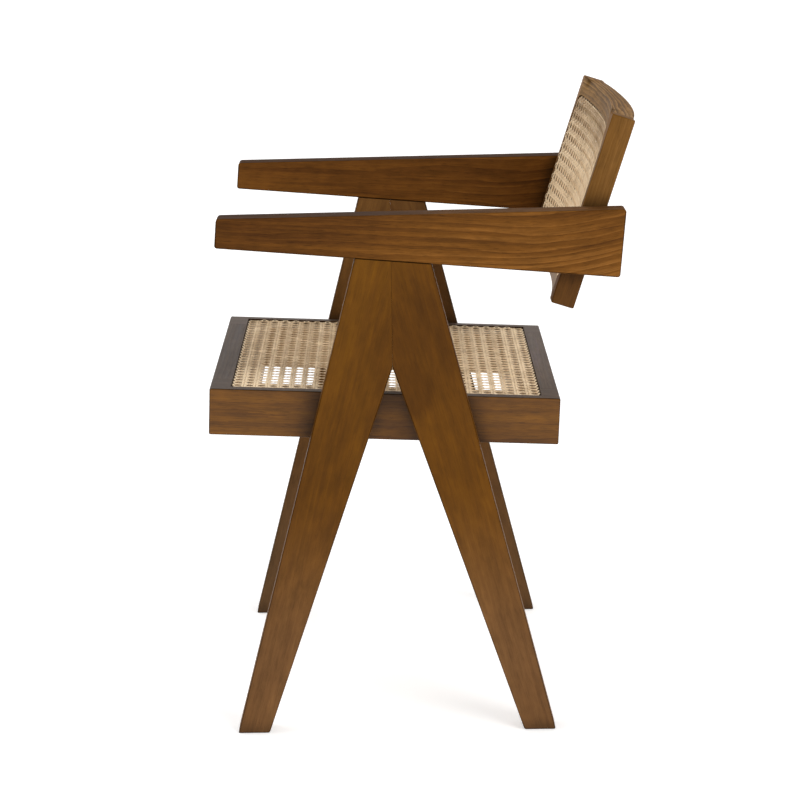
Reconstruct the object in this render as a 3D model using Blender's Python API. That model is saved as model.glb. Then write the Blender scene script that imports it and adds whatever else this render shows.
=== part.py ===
"""Teak and cane armchair with compass legs and a floating back with bowed rails.

Metres, +Z up. The chair stands on z = 0 and faces -Y, so the sitter's left is +X.
Side-view places are measured from the leg axis, the seam where the two legs of a side meet.
"""

from math import cos, pi, radians, sin, sqrt, tan

import bmesh
import bpy
from mathutils import Vector

# Overall sizes and fits
WIDTH = 0.520
CLEARANCE = 0.0003
EASE = 0.002
EASE_STEPS = 2
SIDES = {"left": 1, "right": -1}
ENDS = {"front": -1, "rear": 1}

# Compass legs
LEG_THICKNESS = 0.034
FOOT_SPREAD = 0.415
FOOT_WIDTH = 0.041
LEG_TOP_WIDTH = 0.096
LEG_TOP_SHIFT = 0.0025
CROTCH_HEIGHT = 0.487

# Arms, whose underside falls to the rear and carries the square-cut ends
ARM_THICKNESS = 0.034
ARM_HEIGHT = 0.6237
ARM_PITCH = radians(4.9)
ARM_FRONT_REACH = 0.221
ARM_REAR_REACH = 0.287
ARM_FRONT_DEPTH = 0.0373
ARM_REAR_DEPTH = 0.0863
ARM_NOSE_RADIUS = 0.0045
ARM_CORNER_RADIUS = 0.0035

# Seat box, tilted down to the rear
SEAT_FRONT_HEIGHT = 0.456
SEAT_FRONT_REACH = 0.234
SEAT_DEPTH = 0.449
SEAT_TILT = radians(2.5)
RAIL_HEIGHT = 0.061
RAIL_WIDTH = 0.054
SIDE_RIM = 0.0145
FRONT_RIM = 0.0265
REAR_RIM = 0.0235
SEAT_REBATE = 0.004
RAIL_TENON_LENGTH = 0.025
RAIL_TENON_WIDTH = 0.014
RAIL_TENON_HEIGHT = 0.032

# Back, leaning to the rear, with square stiles and rails bowed between them
BACK_SETBACK = 0.0854
BACK_FOOT_HEIGHT = 0.562
BACK_HEIGHT = 0.250
BACK_THICKNESS = 0.030
BACK_LEAN = radians(17.8)
BACK_SAGITTA = 0.0138
BACK_SIDE_RIM = 0.0145
BACK_SIDE_LEDGE = 0.010
BACK_RIM = 0.025
BACK_LEDGE = 0.024
BACK_REBATE = 0.0035
BACK_CORNER_RADIUS = 0.024
BACK_TENON_LENGTH = 0.016
BACK_TENON_WIDTH = 0.010
BACK_TENON_HEIGHT = 0.026
BOW_STEPS = 12
PANEL_STEPS = 11
CORNER_STEPS = 4

# Cane panels, drawn as nets
CANE_THICKNESS = 0.0025
CANE_BORDER = 0.010
SEAT_GAPS = 15
SEAT_STRAND = 0.009
BACK_GAPS_ACROSS = 14
BACK_GAPS_UP = 5
BACK_STRAND = 0.010

# Dowels and screws
DOWEL_RADIUS = 0.005
DOWEL_SIDES = 12
SEAM_DOWEL_LENGTH = 0.060
SEAM_DOWEL_SPACING = 0.046
SEAM_DOWEL_RISE = 0.036
ARM_DOWEL_LENGTH = 0.050
ARM_DOWEL_SPACING = 0.048
BACK_DOWEL_LENGTH = 0.036
BACK_DOWEL_SPACING = 0.042
SCREW_SIDES = 10
SCREW_RADIUS = 0.003
SCREW_HEAD_RADIUS = 0.0055
SCREW_HEAD_HEIGHT = 0.004
SCREW_SOCKET_RADIUS = 0.0025
SCREW_SOCKET_DEPTH = 0.0025
SCREW_SINK = 0.010
SCREW_BITE = 0.022
SCREW_SPACING = 0.034

# Places that follow from the sizes above
HALF_WIDTH = WIDTH / 2
LEG_INNER = HALF_WIDTH - LEG_THICKNESS
LEG_MIDDLE = HALF_WIDTH - LEG_THICKNESS / 2
ARM_INNER = HALF_WIDTH - ARM_THICKNESS
ARM_TAPER = (ARM_REAR_DEPTH - ARM_FRONT_DEPTH) / (ARM_FRONT_REACH + ARM_REAR_REACH)
SEAT_HALF = LEG_INNER - CLEARANCE
BACK_FOOT_REACH = ARM_REAR_REACH - BACK_SETBACK
BACK_HALF = ARM_INNER - CLEARANCE
STILE_WIDTH = BACK_SIDE_RIM + BACK_SIDE_LEDGE
BACK_RAIL_HEIGHT = BACK_RIM + BACK_LEDGE
BOW_HALF = BACK_HALF - STILE_WIDTH
BOW_RADIUS = (BOW_HALF ** 2 + BACK_SAGITTA ** 2) / (2 * BACK_SAGITTA)
SMOOTH_ANGLE = radians(35)
CUT_OVERRUN = 0.004


def clear_scene():
    for obj in list(bpy.data.objects):
        bpy.data.objects.remove(obj, do_unlink=True)


def make_material(name, colour, roughness, metallic=0.0):
    material = bpy.data.materials.new(name)
    material.use_nodes = True
    shader = material.node_tree.nodes["Principled BSDF"]
    shader.inputs["Base Color"].default_value = (*colour, 1.0)
    shader.inputs["Roughness"].default_value = roughness
    shader.inputs["Metallic"].default_value = metallic
    return material


def add_empty(name, parent=None, location=(0, 0, 0), turn=0.0):
    """An empty that carries a group of pieces; turn is about X."""
    empty = bpy.data.objects.new(name, None)
    bpy.context.scene.collection.objects.link(empty)
    empty.parent = parent
    empty.location = location
    empty.rotation_euler = (turn, 0, 0)
    return empty


def add_object(name, bm, parent, material=None):
    bmesh.ops.recalc_face_normals(bm, faces=bm.faces)
    mesh = bpy.data.meshes.new(name)
    bm.to_mesh(mesh)
    bm.free()
    mesh.shade_smooth()
    mesh.set_sharp_from_angle(angle=SMOOTH_ANGLE)
    obj = bpy.data.objects.new(name, mesh)
    bpy.context.scene.collection.objects.link(obj)
    obj.parent = parent
    if material:
        mesh.materials.append(material)
    return obj


def add_cutter(name, bm, parent):
    cutter = add_object(name, bm, parent)
    cutter.hide_render = True
    cutter.display_type = "WIRE"
    return cutter


def add_boolean(obj, name, operation):
    modifier = obj.modifiers.new(name, "BOOLEAN")
    modifier.operation = operation
    modifier.solver = "EXACT"
    return modifier


def join(obj, other):
    add_boolean(obj, other.name, "UNION").object = other


def cut(obj, cutter):
    """Take a cutter out of a piece; all the cuts of one piece are made at once."""
    name = f"{obj.name}_cuts"
    cutters = bpy.data.collections.get(name)
    if cutters is None:
        cutters = bpy.data.collections.new(name)
        modifier = add_boolean(obj, name, "DIFFERENCE")
        modifier.operand_type = "COLLECTION"
        modifier.collection = cutters
    cutters.objects.link(cutter)


def loft(bm, rings):
    """Skin rings of as many points each, and cap the first and the last."""
    loops = [[bm.verts.new(point) for point in ring] for ring in rings]
    count = len(rings[0])
    for low, high in zip(loops, loops[1:]):
        for i in range(count):
            j = (i + 1) % count
            bm.faces.new((low[i], low[j], high[j], high[i]))
    bm.faces.new(list(reversed(loops[0])))
    bm.faces.new(loops[-1])
    return bm


def prism(outline, x_low, x_high):
    """A side-view outline of (y, z) points, drawn out across the chair."""
    rings = [[(x, y, z) for y, z in outline] for x in (x_low, x_high)]
    return loft(bmesh.new(), rings)


def block(bm, low, high):
    ring = [(low[0], low[1]), (high[0], low[1]), (high[0], high[1]), (low[0], high[1])]
    return loft(bm, [[(x, y, z) for x, y in ring] for z in (low[2], high[2])])


def turned(bm, profile, sides):
    """A turned piece about its own Z, from (radius, z) points."""
    steps = [2 * pi * i / sides for i in range(sides)]
    rings = [[(r * cos(a), r * sin(a), z) for a in steps] for r, z in profile]
    return loft(bm, rings)


def ease(bm, wanted):
    """Round the edges whose two ends satisfy wanted."""
    edges = [edge for edge in bm.edges if wanted(edge.verts[0].co, edge.verts[1].co)]
    bmesh.ops.bevel(
        bm, geom=edges, offset=EASE, offset_type="OFFSET", segments=EASE_STEPS, profile=0.5, affect="EDGES"
    )


def near(first, second):
    return abs(first - second) < CLEARANCE / 3


def rounded(corners):
    """An outline from (point, radius) corners, with each corner an arc."""
    outline = []
    for i, (point, radius) in enumerate(corners):
        corner = Vector(point)
        before = (Vector(corners[i - 1][0]) - corner).normalized()
        after = (Vector(corners[(i + 1) % len(corners)][0]) - corner).normalized()
        half = before.angle(after) / 2
        centre = corner + (before + after).normalized() * radius / sin(half)
        start = (corner + before * radius / tan(half) - centre).normalized()
        end = (corner + after * radius / tan(half) - centre).normalized()
        for step in range(CORNER_STEPS + 1):
            outline.append(tuple(centre + start.slerp(end, step / CORNER_STEPS) * radius))
    return outline


def underside(y):
    """Height of the arm's underside at y."""
    return ARM_HEIGHT - y * tan(ARM_PITCH)


def arm_point(along, up):
    """A side-view point from the distance along the underside and square to it."""
    y = along * cos(ARM_PITCH) + up * sin(ARM_PITCH)
    z = ARM_HEIGHT - along * sin(ARM_PITCH) + up * cos(ARM_PITCH)
    return y, z


def leg_outline(end):
    seam = end * CLEARANCE / 2
    top = LEG_TOP_SHIFT + end * LEG_TOP_WIDTH / 2
    foot = end * FOOT_SPREAD / 2
    return [
        (foot, 0),
        (foot - end * FOOT_WIDTH, 0),
        (seam, CROTCH_HEIGHT),
        (seam, underside(seam) - CLEARANCE),
        (top, underside(top) - CLEARANCE),
    ]


def leg_centre(end, height):
    """Side-view place of the middle of a leg board below the crotch."""
    top = LEG_TOP_SHIFT + end * LEG_TOP_WIDTH / 2
    foot = end * FOOT_SPREAD / 2
    outer = foot + (top - foot) * height / ARM_HEIGHT
    inner = (foot - end * FOOT_WIDTH) * (1 - height / CROTCH_HEIGHT)
    return (outer + inner) / 2


def add_legs(root, material):
    legs = {}
    for side, x_sign in SIDES.items():
        for end, y_sign in ENDS.items():
            bm = prism(leg_outline(y_sign), x_sign * LEG_INNER, x_sign * HALF_WIDTH)
            ease(bm, leg_edge_shows)
            legs[side, end] = add_object(f"{side}_{end}_leg", bm, root, material)
    return legs


def leg_edge_shows(first, second):
    """All but the edges of the seam and of the top, and those across the crotch."""
    on_seam = near(abs(first.y), CLEARANCE / 2) and near(abs(second.y), CLEARANCE / 2)
    on_top = min(first.z, second.z) > CROTCH_HEIGHT
    return not on_seam and not on_top


def add_arms(root, material):
    outline = rounded([
        (arm_point(-ARM_FRONT_REACH, 0), ARM_CORNER_RADIUS),
        (arm_point(ARM_REAR_REACH, 0), ARM_CORNER_RADIUS),
        (arm_point(ARM_REAR_REACH, ARM_REAR_DEPTH), ARM_CORNER_RADIUS),
        (arm_point(-ARM_FRONT_REACH, ARM_FRONT_DEPTH), ARM_NOSE_RADIUS),
    ])
    arms = {}
    for side, x_sign in SIDES.items():
        bm = prism(outline, x_sign * ARM_INNER, x_sign * HALF_WIDTH)
        ease(bm, lambda first, second: near(first.x, second.x))
        arms[side] = add_object(f"{side}_arm", bm, root, material)
    return arms


def add_seat_rails(seat, material):
    """Four rails in the seat's own frame: y from the front edge, z from the top."""
    inner = SEAT_HALF - RAIL_WIDTH
    rails = {}
    for side, x_sign in SIDES.items():
        xs = sorted((x_sign * inner, x_sign * SEAT_HALF))
        bm = block(bmesh.new(), (xs[0], 0, -RAIL_HEIGHT), (xs[1], SEAT_DEPTH, 0))
        ease(bm, lambda first, second: side_rail_edge_shows(first, second, inner))
        rails[side] = add_object(f"seat_{side}_rail", bm, seat, material)
    for end in ENDS:
        outer_y = 0 if end == "front" else SEAT_DEPTH
        inner_y = RAIL_WIDTH if end == "front" else SEAT_DEPTH - RAIL_WIDTH
        ys = sorted((outer_y, inner_y))
        reach = inner - CLEARANCE
        bm = block(bmesh.new(), (-reach, ys[0], -RAIL_HEIGHT), (reach, ys[1], 0))
        ease(bm, lambda first, second: cross_rail_edge_shows(first, second, outer_y))
        rail = add_object(f"seat_{end}_rail", bm, seat, material)
        middle = (ys[0] + ys[1]) / 2
        join(rail, rail_tenon(f"seat_{end}_tenon", seat, middle, 0))
        mortise = rail_tenon(f"seat_{end}_mortise", seat, middle, CLEARANCE)
        cut(rails["left"], mortise)
        cut(rails["right"], mortise)
        rails[end] = rail
    rebate = bmesh.new()
    block(
        rebate,
        (SIDE_RIM - SEAT_HALF, FRONT_RIM, -SEAT_REBATE),
        (SEAT_HALF - SIDE_RIM, SEAT_DEPTH - REAR_RIM, CUT_OVERRUN),
    )
    cutter = add_cutter("seat_rebate", rebate, seat)
    for rail in rails.values():
        cut(rail, cutter)
    return rails


def side_rail_edge_shows(first, second, inner):
    on_inner = near(abs(first.x), inner) and near(abs(second.x), inner)
    on_outer = near(abs(first.x), SEAT_HALF) and near(abs(second.x), SEAT_HALF)
    on_end = near(first.y, second.y)
    return on_outer or (on_end and not on_inner)


def cross_rail_edge_shows(first, second, outer_y):
    on_face = near(first.y, outer_y) and near(second.y, outer_y)
    return on_face and near(first.z, second.z)


def rail_tenon(name, seat, middle, grow):
    """A bar through the rail that stands out as a tenon at both ends."""
    reach = SEAT_HALF - RAIL_WIDTH + RAIL_TENON_LENGTH - CLEARANCE + grow
    half_width = RAIL_TENON_WIDTH / 2 + grow
    half_height = RAIL_TENON_HEIGHT / 2 + grow
    bm = bmesh.new()
    block(
        bm,
        (-reach, middle - half_width, -RAIL_HEIGHT / 2 - half_height),
        (reach, middle + half_width, -RAIL_HEIGHT / 2 + half_height),
    )
    return add_cutter(name, bm, seat)


def add_seat_cane(seat, material):
    x_half = SEAT_HALF - SIDE_RIM - CLEARANCE
    y_low = FRONT_RIM + CLEARANCE
    y_high = SEAT_DEPTH - REAR_RIM - CLEARANCE
    z_low = CLEARANCE - SEAT_REBATE
    bm = block(bmesh.new(), (-x_half, y_low, z_low), (x_half, y_high, z_low + CANE_THICKNESS))
    cane = add_object("seat_cane", bm, seat, material)
    holes = bmesh.new()
    for x_low, x_high in gaps(-x_half, x_half, SEAT_GAPS, SEAT_STRAND):
        for low, high in gaps(y_low, y_high, SEAT_GAPS, SEAT_STRAND):
            block(holes, (x_low, low, z_low - CUT_OVERRUN), (x_high, high, CUT_OVERRUN))
    cut(cane, add_cutter("seat_cane_gaps", holes, seat))


def gaps(low, high, count, strand):
    """The spans between strands over a panel, inside its plain border."""
    start = low + CANE_BORDER
    pitch = (high - low - 2 * CANE_BORDER + strand) / count
    return [(start + i * pitch, start + (i + 1) * pitch - strand) for i in range(count)]


def bow(x, depth):
    """Rearward place of a point of the back, depth behind its front face; the stiles are flat."""
    if abs(x) >= BOW_HALF:
        return depth
    return depth + BACK_SAGITTA - BOW_RADIUS + sqrt(BOW_RADIUS ** 2 - x ** 2)


def bowed_bar(bm, stations, depths):
    """A bar along the bow, from (x, z_low, z_high) stations."""
    rings = []
    for x, z_low, z_high in stations:
        front = bow(x, depths[0])
        rear = bow(x, depths[1])
        rings.append([(x, front, z_low), (x, rear, z_low), (x, rear, z_high), (x, front, z_high)])
    return loft(bm, rings)


def rail_stations(x_half, z_low, z_high):
    """Stations of a bar of one height over the bow."""
    return [(x_half * (2 * i / BOW_STEPS - 1), z_low, z_high) for i in range(BOW_STEPS + 1)]


def panel_stations(x_half, z_low, z_high, radius):
    """Stations of a panel with round corners."""
    turns = [pi / 2 * i / CORNER_STEPS for i in range(CORNER_STEPS)]
    flat = x_half - radius
    left = [(-flat - radius * cos(a), radius - radius * sin(a)) for a in turns]
    middle = [(-flat + 2 * flat * i / PANEL_STEPS, 0.0) for i in range(PANEL_STEPS + 1)]
    right = [(-x, drop) for x, drop in reversed(left)]
    return [(x, z_low + drop, z_high - drop) for x, drop in left + middle + right]


def add_back_frame(back, material):
    """Two square stiles and two bowed rails in the back's own frame: y to the rear, z up the back."""
    pieces = {}
    for side, x_sign in SIDES.items():
        xs = sorted((x_sign * BOW_HALF, x_sign * BACK_HALF))
        bm = block(bmesh.new(), (xs[0], 0, 0), (xs[1], BACK_THICKNESS, BACK_HEIGHT))
        ease(bm, stile_edge_shows)
        pieces[side] = add_object(f"back_{side}_stile", bm, back, material)
    for level, z_low in {"bottom": 0, "top": BACK_HEIGHT - BACK_RAIL_HEIGHT}.items():
        z_high = z_low + BACK_RAIL_HEIGHT
        outer_z = z_low if level == "bottom" else z_high
        stations = rail_stations(BOW_HALF - CLEARANCE, z_low, z_high)
        bm = bowed_bar(bmesh.new(), stations, (0, BACK_THICKNESS))
        ease(bm, lambda first, second: back_rail_edge_shows(first, second, outer_z))
        rail = add_object(f"back_{level}_rail", bm, back, material)
        middle = (z_low + z_high) / 2
        join(rail, back_tenon(f"back_{level}_tenon", back, middle, 0))
        mortise = back_tenon(f"back_{level}_mortise", back, middle, CLEARANCE)
        cut(pieces["left"], mortise)
        cut(pieces["right"], mortise)
        pieces[level] = rail
    return pieces


def stile_edge_shows(first, second):
    on_outer = near(abs(first.x), BACK_HALF) and near(abs(second.x), BACK_HALF)
    on_end = near(first.z, second.z) and (near(first.z, 0) or near(first.z, BACK_HEIGHT))
    return on_outer or (on_end and not near(first.x, second.x))


def back_rail_edge_shows(first, second, outer_z):
    on_edge = near(first.z, outer_z) and near(second.z, outer_z)
    return on_edge and not near(first.x, second.x)


def back_tenon(name, back, middle, grow):
    """A bar along the bow that runs on straight as a tenon at both ends."""
    reach = BOW_HALF + BACK_TENON_LENGTH - CLEARANCE + grow
    half_height = BACK_TENON_HEIGHT / 2 + grow
    half_width = BACK_TENON_WIDTH / 2 + grow
    depths = (BACK_THICKNESS / 2 - half_width, BACK_THICKNESS / 2 + half_width)
    heights = (middle - half_height, middle + half_height)
    stations = [(-reach, *heights), *rail_stations(BOW_HALF, *heights), (reach, *heights)]
    return add_cutter(name, bowed_bar(bmesh.new(), stations, depths), back)


def add_back_canes(back, frame, material):
    floors = {"front": BACK_REBATE, "rear": BACK_THICKNESS - BACK_REBATE}
    for end, y_sign in ENDS.items():
        floor = floors[end]
        x_half = BACK_HALF - BACK_SIDE_RIM
        stations = panel_stations(x_half, BACK_RIM, BACK_HEIGHT - BACK_RIM, BACK_CORNER_RADIUS)
        depths = sorted((floor, floor + y_sign * (BACK_REBATE + CUT_OVERRUN)))
        rebate = add_cutter(f"back_{end}_rebate", bowed_bar(bmesh.new(), stations, depths), back)
        for piece in frame.values():
            cut(piece, rebate)
        x_half -= CLEARANCE
        z_low = BACK_RIM + CLEARANCE
        z_high = BACK_HEIGHT - z_low
        stations = panel_stations(x_half, z_low, z_high, BACK_CORNER_RADIUS)
        seat = floor + y_sign * CLEARANCE
        depths = sorted((seat, seat + y_sign * CANE_THICKNESS))
        cane = add_object(f"back_{end}_cane", bowed_bar(bmesh.new(), stations, depths), back, material)
        holes = bmesh.new()
        for x_low, x_high in gaps(-x_half, x_half, BACK_GAPS_ACROSS, BACK_STRAND):
            y = bow((x_low + x_high) / 2, floor)
            for low, high in gaps(z_low, z_high, BACK_GAPS_UP, BACK_STRAND):
                block(holes, (x_low, y - 2 * CUT_OVERRUN, low), (x_high, y + 2 * CUT_OVERRUN, high))
        cut(cane, add_cutter(f"back_{end}_cane_gaps", holes, back))


def place_along(obj, centre, axis):
    """Put a turned piece at a place, with its own Z along axis."""
    obj.location = centre
    obj.rotation_euler = Vector((0, 0, 1)).rotation_difference(Vector(axis)).to_euler()


def add_dowel(name, root, material, centre, axis, length, holders):
    """A dowel between two pieces, with its bores cut in both."""
    dowel = add_object(name, rod(DOWEL_RADIUS, length / 2), root, material)
    bore = add_cutter(f"{name}_bore", rod(DOWEL_RADIUS + CLEARANCE, length / 2 + CLEARANCE), root)
    place_along(dowel, centre, axis)
    place_along(bore, centre, axis)
    for holder in holders:
        cut(holder, bore)


def rod(radius, reach):
    return turned(bmesh.new(), [(radius, -reach), (radius, reach)], DOWEL_SIDES)


def add_frame_dowels(root, material, legs, arms):
    lean = (0, sin(ARM_PITCH), cos(ARM_PITCH))
    for side, x_sign in SIDES.items():
        x = x_sign * LEG_MIDDLE
        pair = [legs[side, end] for end in ENDS]
        for i, level in enumerate(("lower", "upper")):
            name = f"{side}_{level}_seam_dowel"
            centre = (x, 0, CROTCH_HEIGHT + SEAM_DOWEL_RISE + i * SEAM_DOWEL_SPACING)
            add_dowel(name, root, material, centre, (0, 1, 0), SEAM_DOWEL_LENGTH, pair)
        for end, y_sign in ENDS.items():
            centre = (x, *arm_point(y_sign * ARM_DOWEL_SPACING / 2, 0))
            holders = (legs[side, end], arms[side])
            add_dowel(f"{side}_{end}_arm_dowel", root, material, centre, lean, ARM_DOWEL_LENGTH, holders)


def back_point(depth, up):
    """A side-view point of the back's end face, from its own frame."""
    y = BACK_FOOT_REACH + up * sin(BACK_LEAN) + depth * cos(BACK_LEAN)
    z = BACK_FOOT_HEIGHT + up * cos(BACK_LEAN) - depth * sin(BACK_LEAN)
    return y, z


def back_middle_in_arm():
    """How far up the back its end face crosses the middle of the arm's depth."""
    y, z = back_point(BACK_THICKNESS / 2, 0)
    front_middle = arm_point(-ARM_FRONT_REACH, ARM_FRONT_DEPTH / 2)
    rise = (ARM_TAPER / 2 - tan(ARM_PITCH)) / (1 + ARM_TAPER / 2 * tan(ARM_PITCH))
    target = front_middle[1] + rise * (y - front_middle[0])
    return (target - z) / (cos(BACK_LEAN) - rise * sin(BACK_LEAN))


def add_back_dowels(root, material, arms, frame):
    middle = back_middle_in_arm()
    for side, x_sign in SIDES.items():
        for level, shift in {"lower": -BACK_DOWEL_SPACING / 2, "upper": BACK_DOWEL_SPACING / 2}.items():
            name = f"{side}_{level}_back_dowel"
            centre = (x_sign * ARM_INNER, *back_point(BACK_THICKNESS / 2, middle + shift))
            add_dowel(name, root, material, centre, (1, 0, 0), BACK_DOWEL_LENGTH, (arms[side], frame[side]))


def add_seat_screws(root, material, legs, rails):
    """Socket screws, sunk in the inner face of the side rails, that hold the seat to the legs."""
    height = SEAT_FRONT_HEIGHT - SEAT_FRONT_REACH * tan(SEAT_TILT) - RAIL_HEIGHT / 2
    head = SEAT_HALF - RAIL_WIDTH + SCREW_SINK
    shank = head + SCREW_HEAD_HEIGHT
    tip = LEG_INNER + SCREW_BITE
    for side, x_sign in SIDES.items():
        for end, y_sign in ENDS.items():
            for place, shift in {"outer": SCREW_SPACING / 2, "inner": -SCREW_SPACING / 2}.items():
                y = leg_centre(y_sign, height) + y_sign * shift
                centre = (0, y, height - y * tan(SEAT_TILT))
                axis = (x_sign, 0, 0)
                name = f"{side}_{end}_{place}_seat_screw"
                screw = turned(bmesh.new(), screw_profile(head, shank, tip), SCREW_SIDES)
                place_along(add_object(name, screw, root, material), centre, axis)
                profile = screw_bore_profile(shank, tip)
                bore = add_cutter(f"{name}_bore", turned(bmesh.new(), profile, SCREW_SIDES), root)
                place_along(bore, centre, axis)
                cut(rails[side], bore)
                cut(legs[side, end], bore)


def screw_profile(head, shank, tip):
    return [
        (SCREW_SOCKET_RADIUS, head + SCREW_SOCKET_DEPTH),
        (SCREW_SOCKET_RADIUS, head),
        (SCREW_HEAD_RADIUS, head),
        (SCREW_HEAD_RADIUS, shank),
        (SCREW_RADIUS, shank),
        (SCREW_RADIUS, tip),
    ]


def screw_bore_profile(shank, tip):
    mouth = SEAT_HALF - RAIL_WIDTH - CUT_OVERRUN
    return [
        (SCREW_HEAD_RADIUS + CLEARANCE, mouth),
        (SCREW_HEAD_RADIUS + CLEARANCE, shank + CLEARANCE),
        (SCREW_RADIUS + CLEARANCE, shank + CLEARANCE),
        (SCREW_RADIUS + CLEARANCE, tip + CLEARANCE),
    ]


def centre_depth(root):
    """Shift the chair along Y so that its box is centred over the origin."""
    front = -SEAT_FRONT_REACH - RAIL_HEIGHT * sin(SEAT_TILT)
    rear = back_point(BACK_THICKNESS + BACK_SAGITTA, BACK_HEIGHT)[0]
    root.location.y = -(front + rear) / 2


def build_chair():
    clear_scene()
    leg_wood = make_material("leg_teak", (0.190, 0.083, 0.024), 0.42)
    arm_wood = make_material("arm_teak", (0.215, 0.092, 0.027), 0.38)
    rail_wood = make_material("rail_teak", (0.150, 0.065, 0.026), 0.45)
    back_wood = make_material("back_teak", (0.200, 0.100, 0.045), 0.45)
    cane_strand = make_material("woven_cane", (0.560, 0.370, 0.190), 0.55)
    dowel_wood = make_material("dowel_beech", (0.600, 0.420, 0.240), 0.60)
    steel = make_material("screw_steel", (0.350, 0.340, 0.330), 0.35, 1.0)

    root = add_empty("chair")
    seat_place = (0, -SEAT_FRONT_REACH, SEAT_FRONT_HEIGHT)
    seat = add_empty("seat", root, seat_place, -SEAT_TILT)
    back_place = (0, BACK_FOOT_REACH, BACK_FOOT_HEIGHT)
    back = add_empty("back", root, back_place, -BACK_LEAN)

    legs = add_legs(root, leg_wood)
    arms = add_arms(root, arm_wood)
    rails = add_seat_rails(seat, rail_wood)
    add_seat_cane(seat, cane_strand)
    frame = add_back_frame(back, back_wood)
    add_back_canes(back, frame, cane_strand)
    add_frame_dowels(root, dowel_wood, legs, arms)
    add_back_dowels(root, dowel_wood, arms, frame)
    add_seat_screws(root, steel, legs, rails)
    centre_depth(root)


build_chair()
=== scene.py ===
"""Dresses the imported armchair: figured teak, hand-woven cane, a pale floor and soft studio light.

Metres, in the frame's own axes: +Z up, the chair faces -Y, and the photograph looks along -X.
"""

import random
from dataclasses import dataclass
from math import cos, pi, radians, sin, sqrt

import bpy
from mathutils import Matrix, Vector


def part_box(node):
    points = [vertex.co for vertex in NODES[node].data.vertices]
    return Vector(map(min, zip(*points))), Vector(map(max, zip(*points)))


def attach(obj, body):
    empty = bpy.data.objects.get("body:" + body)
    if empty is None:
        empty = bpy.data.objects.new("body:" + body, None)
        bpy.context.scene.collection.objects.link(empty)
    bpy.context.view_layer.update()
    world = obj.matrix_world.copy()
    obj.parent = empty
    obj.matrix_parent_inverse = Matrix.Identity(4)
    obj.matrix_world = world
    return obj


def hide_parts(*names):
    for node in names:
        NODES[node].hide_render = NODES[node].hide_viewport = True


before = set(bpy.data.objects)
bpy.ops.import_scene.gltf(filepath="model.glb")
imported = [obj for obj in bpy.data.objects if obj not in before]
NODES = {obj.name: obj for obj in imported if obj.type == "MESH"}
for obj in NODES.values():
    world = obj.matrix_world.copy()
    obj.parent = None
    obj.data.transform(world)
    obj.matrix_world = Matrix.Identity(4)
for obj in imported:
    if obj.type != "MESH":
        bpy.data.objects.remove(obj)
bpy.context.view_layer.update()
LEFT_LEGS = ("left_front_leg", "left_rear_leg")
LEG_AXIS = (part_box(LEFT_LEGS[0])[1].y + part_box(LEFT_LEGS[1])[0].y) / 2
LEFT_OUTER_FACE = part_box("left_front_leg")[1].x
RIGHT_INNER_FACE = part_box("right_front_leg")[1].x

# Seat and back, with the sizes that the frame was made to
SEAT_FRONT_REACH = 0.234
SEAT_FRONT_HEIGHT = 0.456
SEAT_TILT = radians(2.5)
SEAT_DEPTH = 0.449
SEAT_HALF = 0.2257
SIDE_RIM = 0.0145
FRONT_RIM = 0.0265
REAR_RIM = 0.0235
RAIL_WIDTH = 0.054
RAIL_HEIGHT = 0.061
SEAT_LEDGE_DEPTH = 0.004
BACK_FOOT_REACH = 0.2016
BACK_FOOT_HEIGHT = 0.562
BACK_LEAN = radians(17.8)
BACK_HEIGHT = 0.250
BACK_HALF = 0.2257
BACK_SIDE_RIM = 0.0145
BACK_RIM = 0.025
BACK_RAIL_HEIGHT = 0.049
BACK_THICKNESS = 0.030
BACK_LEDGE_DEPTH = 0.0035
BACK_CORNER_RADIUS = 0.024
BACK_SAGITTA = 0.0138
BOW_HALF = 0.2012
BOW_RADIUS = (BOW_HALF ** 2 + BACK_SAGITTA ** 2) / (2 * BACK_SAGITTA)
LEG_SPLAY = radians(14.4)
ARM_FALL = radians(3.2)

# Weave: pairs of strands both ways, and one diagonal each way that crosses the pairs' spans
WEAVE_PITCH = 0.0152
ROW_HALF = 0.0017
ROW_WIDTH = 0.0030
COLUMN_HALF = 0.0014
COLUMN_WIDTH = 0.0025
STRAND_THICKNESS = 0.00034
DIAGONAL_WIDTH = 0.0023
DIAGONAL_THICKNESS = 0.00022
WEAVE_RISE = 0.00020
DIAGONAL_RISE = 0.00030
SEAT_BULK = 1.4
BACK_BULK = 2.8
SEAT_SINK = 0.0017
BACK_SINK = 0.0013
PANEL_GAP = 0.0005
EDGE_TUCK = 0.0036
EDGE_DROP = 0.0015
EDGE_PINCH = 0.7
EDGE_GATHER = 0.6
STRAND_WANDER = 0.00020
LOOP_STEPS = 6
LOOP_SPREAD = 0.62
LOOP_INSET = 0.0014
LOOP_REACH = 0.0042
LOOP_RISE = 0.00060
LOOP_WIDTH = 0.0022
LOOP_TONE = 0.30
STRAND_SECTION = ((-1, 0), (-0.6, 0.8), (0.6, 0.8), (1, 0), (0.6, -0.8), (-0.6, -0.8))
STRAND_WIDTHS = (0.92, 1.06)
STRAND_TONES = (0.18, 0.52)
SHORTEST_STRAND = 3 * EDGE_TUCK
LAST_LINE_CLEAR = 0.25
REACH_HALVINGS = 24

# First column and row of each panel, as shares of the pitch, and the seed of its chances
SEAT_WEAVE = {"first": (0.5, 1.0), "seed": 3}
BACK_WEAVES = {
    "back_front": {"first": (0.5, 0.5), "seed": 5},
    "back_rear": {"first": (1.0, 1.0), "seed": 8},
}

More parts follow.
